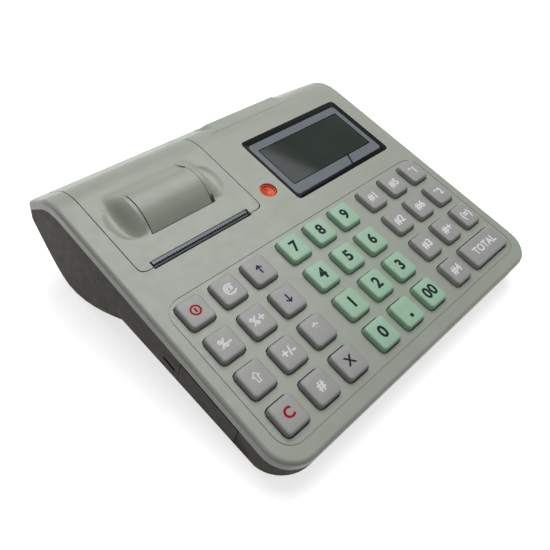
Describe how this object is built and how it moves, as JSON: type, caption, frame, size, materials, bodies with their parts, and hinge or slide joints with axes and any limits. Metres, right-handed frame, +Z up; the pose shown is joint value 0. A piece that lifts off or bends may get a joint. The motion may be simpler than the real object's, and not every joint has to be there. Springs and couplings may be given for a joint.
{
  "type": "ticket register",
  "caption": "Wedge-shaped portable register with a keypad, an operator display, a small customer display and a drop-in receipt printer under a hinged lid.",
  "frame": {"origin": "on the table, under the middle of the bounding box", "axes": "+X to the operator's right, +Y to the rear, away from the operator, +Z up"},
  "size_m": [0.1938, 0.1882, 0.0624],
  "materials": {
    "cover_plastic": "satin moulded ABS, warm greenish grey",
    "base_plastic": "fine-textured moulded ABS, dark brownish grey",
    "key_grey": "satin key caps, mid grey",
    "key_green": "satin key caps, pale green",
    "battery_wrap": "blue battery sleeve",
    "steel": "plated sheet steel",
    "window_black": "polished acrylic window with a black printed border",
    "lcd_glass": "dark liquid crystal panel",
    "seal_orange": "orange translucent plug",
    "silicone": "moulded silicone dome mat",
    "circuit_board": "green soldermask laminate",
    "tear_bar_metal": "grey toothed strip",
    "black_rubber": "black rubber",
    "gear_plastic": "white acetal",
    "chassis_plastic": "black moulded printer frame"
  },
  "bodies": {
    "register_body": {"top_cover": "cover_plastic", "base_shell": "base_plastic", "battery_pack": "battery_wrap", "port_block": "steel", "usb_port": "steel", "display_window": "window_black", "lcd_module": "lcd_glass", "customer_display": "window_black", "seal_plug": "seal_orange", "keypad_mat": "silicone", "main_board": "circuit_board", "printer_chassis": "chassis_plastic", "print_head": "steel", "foot_front_left": "black_rubber", "foot_rear_left": "black_rubber", "foot_front_right": "black_rubber", "foot_rear_right": "black_rubber"},
    "paper_lid": {"paper_lid": "cover_plastic", "tear_bar": "tear_bar_metal"},
    "release_lever": {"lid_release_lever": "cover_plastic"},
    "platen": {"platen_roller": "black_rubber", "platen_gear": "gear_plastic"},
    "drive_gear": {"drive_gear": "gear_plastic"},
    "side_hatch": {"side_hatch": "base_plastic"},
    "battery_door": {"battery_door": "base_plastic"},
    "key_power": {"key_power": "key_grey"},
    "key_price": {"key_price": "key_grey"},
    "key_up": {"key_up": "key_grey"},
    "key_7": {"key_7": "key_green"},
    "key_8": {"key_8": "key_green"},
    "key_9": {"key_9": "key_green"},
    "key_department_1": {"key_department_1": "key_grey"},
    "key_department_5": {"key_department_5": "key_grey"},
    "key_payment_1": {"key_payment_1": "key_grey"},
    "key_percent_minus": {"key_percent_minus": "key_grey"},
    "key_percent_plus": {"key_percent_plus": "key_grey"},
    "key_down": {"key_down": "key_grey"},
    "key_4": {"key_4": "key_green"},
    "key_5": {"key_5": "key_green"},
    "key_6": {"key_6": "key_green"},
    "key_department_2": {"key_department_2": "key_grey"},
    "key_department_6": {"key_department_6": "key_grey"},
    "key_payment_2": {"key_payment_2": "key_grey"},
    "key_shift": {"key_shift": "key_grey"},
    "key_void": {"key_void": "key_grey"},
    "key_star": {"key_star": "key_grey"},
    "key_1": {"key_1": "key_green"},
    "key_2": {"key_2": "key_green"},
    "key_3": {"key_3": "key_green"},
    "key_department_3": {"key_department_3": "key_grey"},
    "key_department_plus": {"key_department_plus": "key_grey"},
    "key_subtotal": {"key_subtotal": "key_grey"},
    "key_clear": {"key_clear": "key_grey"},
    "key_lookup": {"key_lookup": "key_grey"},
    "key_multiply": {"key_multiply": "key_grey"},
    "key_0": {"key_0": "key_green"},
    "key_point": {"key_point": "key_green"},
    "key_00": {"key_00": "key_green"},
    "key_department_4": {"key_department_4": "key_grey"},
    "key_total": {"key_total": "key_grey"}
  },
  "joints": [
    {"name": "lid_hinge", "type": "hinge", "parent": "register_body", "child": "paper_lid", "pos_m": [-0.04945, 0.08777, 0.04282], "axis": [-1, 0, 0], "range_deg": [0, 95]},
    {"name": "release_lever_hinge", "type": "hinge", "parent": "paper_lid", "child": "release_lever", "pos_m": [-0.0507, 0.04156, 0.0609], "axis": [-1, 0, 0], "range_deg": [0, 25], "stiffness_Nm_per_rad": 0.01, "springref_deg": -17.19},
    {"name": "platen_spin", "type": "hinge", "parent": "paper_lid", "child": "platen", "pos_m": [-0.05035, 0.01642, 0.03874], "axis": [1, 0, 0], "continuous": true},
    {"name": "drive_gear_spin", "type": "hinge", "parent": "register_body", "child": "drive_gear", "pos_m": [-0.08355, 0.01277, 0.02959], "axis": [1, 0, 0], "continuous": true},
    {"name": "side_hatch_hinge", "type": "hinge", "parent": "register_body", "child": "side_hatch", "pos_m": [-0.09675, -0.04421, 0.01006], "axis": [0, -0.9826, -0.1856], "range_deg": [0, 90]},
    {"name": "battery_door_hinge", "type": "hinge", "parent": "register_body", "child": "battery_door", "pos_m": [0.0352, -0.03256, 0.00921], "axis": [-1, 0, 0], "range_deg": [0, 80]},
    {"name": "key_power_press", "type": "slide", "parent": "register_body", "child": "key_power", "axis": [0, 0.2639, -0.9646], "range_m": [0, 0.0015], "stiffness_N_per_m": 300, "springref_m": -0.0005},
    {"name": "key_price_press", "type": "slide", "parent": "register_body", "child": "key_price", "axis": [0, 0.2639, -0.9646], "range_m": [0, 0.0015], "stiffness_N_per_m": 300, "springref_m": -0.0005},
    {"name": "key_up_press", "type": "slide", "parent": "register_body", "child": "key_up", "axis": [0, 0.2639, -0.9646], "range_m": [0, 0.0015], "stiffness_N_per_m": 300, "springref_m": -0.0005},
    {"name": "key_7_press", "type": "slide", "parent": "register_body", "child": "key_7", "axis": [0, 0.2639, -0.9646], "range_m": [0, 0.0015], "stiffness_N_per_m": 300, "springref_m": -0.0005},
    {"name": "key_8_press", "type": "slide", "parent": "register_body", "child": "key_8", "axis": [0, 0.2639, -0.9646], "range_m": [0, 0.0015], "stiffness_N_per_m": 300, "springref_m": -0.0005},
    {"name": "key_9_press", "type": "slide", "parent": "register_body", "child": "key_9", "axis": [0, 0.2639, -0.9646], "range_m": [0, 0.0015], "stiffness_N_per_m": 300, "springref_m": -0.0005},
    {"name": "key_department_1_press", "type": "slide", "parent": "register_body", "child": "key_department_1", "axis": [0, 0.2639, -0.9646], "range_m": [0, 0.0015], "stiffness_N_per_m": 300, "springref_m": -0.0005},
    {"name": "key_department_5_press", "type": "slide", "parent": "register_body", "child": "key_department_5", "axis": [0, 0.2639, -0.9646], "range_m": [0, 0.0015], "stiffness_N_per_m": 300, "springref_m": -0.0005},
    {"name": "key_payment_1_press", "type": "slide", "parent": "register_body", "child": "key_payment_1", "axis": [0, 0.2639, -0.9646], "range_m": [0, 0.0015], "stiffness_N_per_m": 300, "springref_m": -0.0005},
    {"name": "key_percent_minus_press", "type": "slide", "parent": "register_body", "child": "key_percent_minus", "axis": [0, 0.2639, -0.9646], "range_m": [0, 0.0015], "stiffness_N_per_m": 300, "springref_m": -0.0005},
    {"name": "key_percent_plus_press", "type": "slide", "parent": "register_body", "child": "key_percent_plus", "axis": [0, 0.2639, -0.9646], "range_m": [0, 0.0015], "stiffness_N_per_m": 300, "springref_m": -0.0005},
    {"name": "key_down_press", "type": "slide", "parent": "register_body", "child": "key_down", "axis": [0, 0.2639, -0.9646], "range_m": [0, 0.0015], "stiffness_N_per_m": 300, "springref_m": -0.0005},
    {"name": "key_4_press", "type": "slide", "parent": "register_body", "child": "key_4", "axis": [0, 0.2639, -0.9646], "range_m": [0, 0.0015], "stiffness_N_per_m": 300, "springref_m": -0.0005},
    {"name": "key_5_press", "type": "slide", "parent": "register_body", "child": "key_5", "axis": [0, 0.2639, -0.9646], "range_m": [0, 0.0015], "stiffness_N_per_m": 300, "springref_m": -0.0005},
    {"name": "key_6_press", "type": "slide", "parent": "register_body", "child": "key_6", "axis": [0, 0.2639, -0.9646], "range_m": [0, 0.0015], "stiffness_N_per_m": 300, "springref_m": -0.0005},
    {"name": "key_department_2_press", "type": "slide", "parent": "register_body", "child": "key_department_2", "axis": [0, 0.2639, -0.9646], "range_m": [0, 0.0015], "stiffness_N_per_m": 300, "springref_m": -0.0005},
    {"name": "key_department_6_press", "type": "slide", "parent": "register_body", "child": "key_department_6", "axis": [0, 0.2639, -0.9646], "range_m": [0, 0.0015], "stiffness_N_per_m": 300, "springref_m": -0.0005},
    {"name": "key_payment_2_press", "type": "slide", "parent": "register_body", "child": "key_payment_2", "axis": [0, 0.2639, -0.9646], "range_m": [0, 0.0015], "stiffness_N_per_m": 300, "springref_m": -0.0005},
    {"name": "key_shift_press", "type": "slide", "parent": "register_body", "child": "key_shift", "axis": [0, 0.2639, -0.9646], "range_m": [0, 0.0015], "stiffness_N_per_m": 300, "springref_m": -0.0005},
    {"name": "key_void_press", "type": "slide", "parent": "register_body", "child": "key_void", "axis": [0, 0.2639, -0.9646], "range_m": [0, 0.0015], "stiffness_N_per_m": 300, "springref_m": -0.0005},
    {"name": "key_star_press", "type": "slide", "parent": "register_body", "child": "key_star", "axis": [0, 0.2639, -0.9646], "range_m": [0, 0.0015], "stiffness_N_per_m": 300, "springref_m": -0.0005},
    {"name": "key_1_press", "type": "slide", "parent": "register_body", "child": "key_1", "axis": [0, 0.2639, -0.9646], "range_m": [0, 0.0015], "stiffness_N_per_m": 300, "springref_m": -0.0005},
    {"name": "key_2_press", "type": "slide", "parent": "register_body", "child": "key_2", "axis": [0, 0.2639, -0.9646], "range_m": [0, 0.0015], "stiffness_N_per_m": 300, "springref_m": -0.0005},
    {"name": "key_3_press", "type": "slide", "parent": "register_body", "child": "key_3", "axis": [0, 0.2639, -0.9646], "range_m": [0, 0.0015], "stiffness_N_per_m": 300, "springref_m": -0.0005},
    {"name": "key_department_3_press", "type": "slide", "parent": "register_body", "child": "key_department_3", "axis": [0, 0.2639, -0.9646], "range_m": [0, 0.0015], "stiffness_N_per_m": 300, "springref_m": -0.0005},
    {"name": "key_department_plus_press", "type": "slide", "parent": "register_body", "child": "key_department_plus", "axis": [0, 0.2639, -0.9646], "range_m": [0, 0.0015], "stiffness_N_per_m": 300, "springref_m": -0.0005},
    {"name": "key_subtotal_press", "type": "slide", "parent": "register_body", "child": "key_subtotal", "axis": [0, 0.2639, -0.9646], "range_m": [0, 0.0015], "stiffness_N_per_m": 300, "springref_m": -0.0005},
    {"name": "key_clear_press", "type": "slide", "parent": "register_body", "child": "key_clear", "axis": [0, 0.2639, -0.9646], "range_m": [0, 0.0015], "stiffness_N_per_m": 300, "springref_m": -0.0005},
    {"name": "key_lookup_press", "type": "slide", "parent": "register_body", "child": "key_lookup", "axis": [0, 0.2639, -0.9646], "range_m": [0, 0.0015], "stiffness_N_per_m": 300, "springref_m": -0.0005},
    {"name": "key_multiply_press", "type": "slide", "parent": "register_body", "child": "key_multiply", "axis": [0, 0.2639, -0.9646], "range_m": [0, 0.0015], "stiffness_N_per_m": 300, "springref_m": -0.0005},
    {"name": "key_0_press", "type": "slide", "parent": "register_body", "child": "key_0", "axis": [0, 0.2639, -0.9646], "range_m": [0, 0.0015], "stiffness_N_per_m": 300, "springref_m": -0.0005},
    {"name": "key_point_press", "type": "slide", "parent": "register_body", "child": "key_point", "axis": [0, 0.2639, -0.9646], "range_m": [0, 0.0015], "stiffness_N_per_m": 300, "springref_m": -0.0005},
    {"name": "key_00_press", "type": "slide", "parent": "register_body", "child": "key_00", "axis": [0, 0.2639, -0.9646], "range_m": [0, 0.0015], "stiffness_N_per_m": 300, "springref_m": -0.0005},
    {"name": "key_department_4_press", "type": "slide", "parent": "register_body", "child": "key_department_4", "axis": [0, 0.2639, -0.9646], "range_m": [0, 0.0015], "stiffness_N_per_m": 300, "springref_m": -0.0005},
    {"name": "key_total_press", "type": "slide", "parent": "register_body", "child": "key_total", "axis": [0, 0.2639, -0.9646], "range_m": [0, 0.0015], "stiffness_N_per_m": 300, "springref_m": -0.0005}
  ],
  "couplings": [
    {"joint": "drive_gear_spin", "follows": "platen_spin", "ratio": -1.2857}
  ]
}
